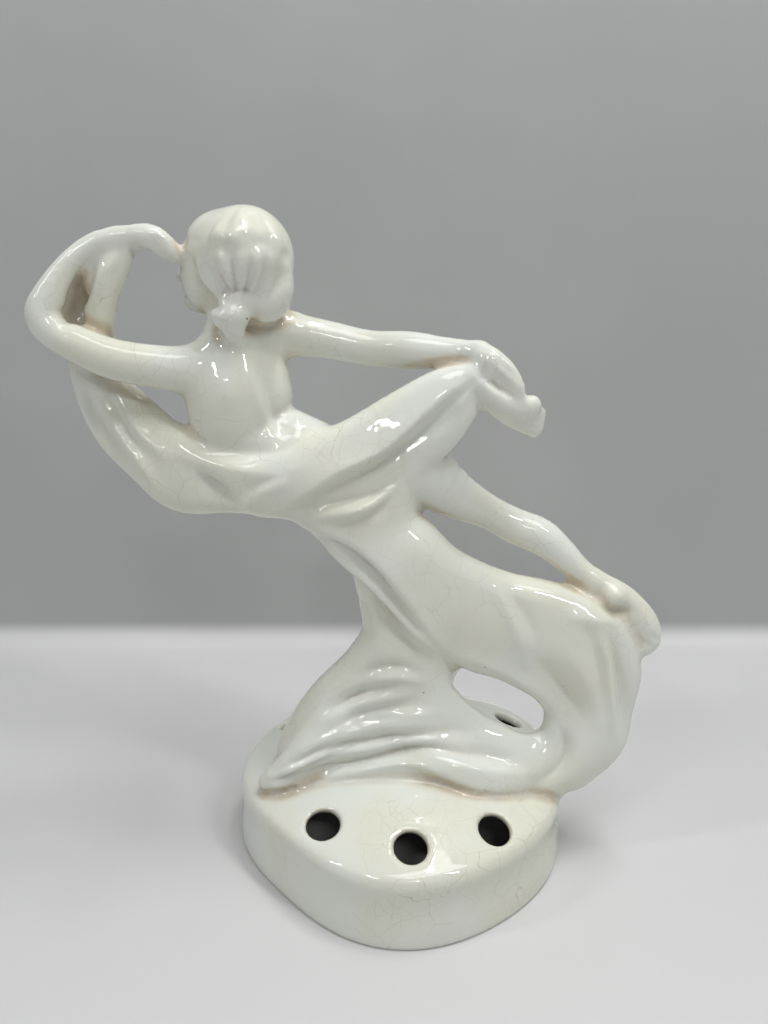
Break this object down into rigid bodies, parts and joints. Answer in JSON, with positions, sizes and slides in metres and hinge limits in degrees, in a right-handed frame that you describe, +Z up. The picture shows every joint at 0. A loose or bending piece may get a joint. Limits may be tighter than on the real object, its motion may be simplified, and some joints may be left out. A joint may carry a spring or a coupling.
{
  "type": "ceramic figurine",
  "caption": "Glazed ceramic dancer leaning back over a low domed base with stem holes, seen from behind, cloth sweeping round the hips to one hand.",
  "frame": {"origin": "centre of the bounding box on the floor the base stands on", "axes": "+Z up; -Y is the side the dancer's back faces; +X towards the stretched leg"},
  "size_m": [0.2084, 0.1224, 0.2256],
  "materials": {
    "glaze": "glossy cream glaze with a fine network of craze lines"
  },
  "bodies": {
    "root": {"figurine": "glaze"}
  },
  "joints": []
}
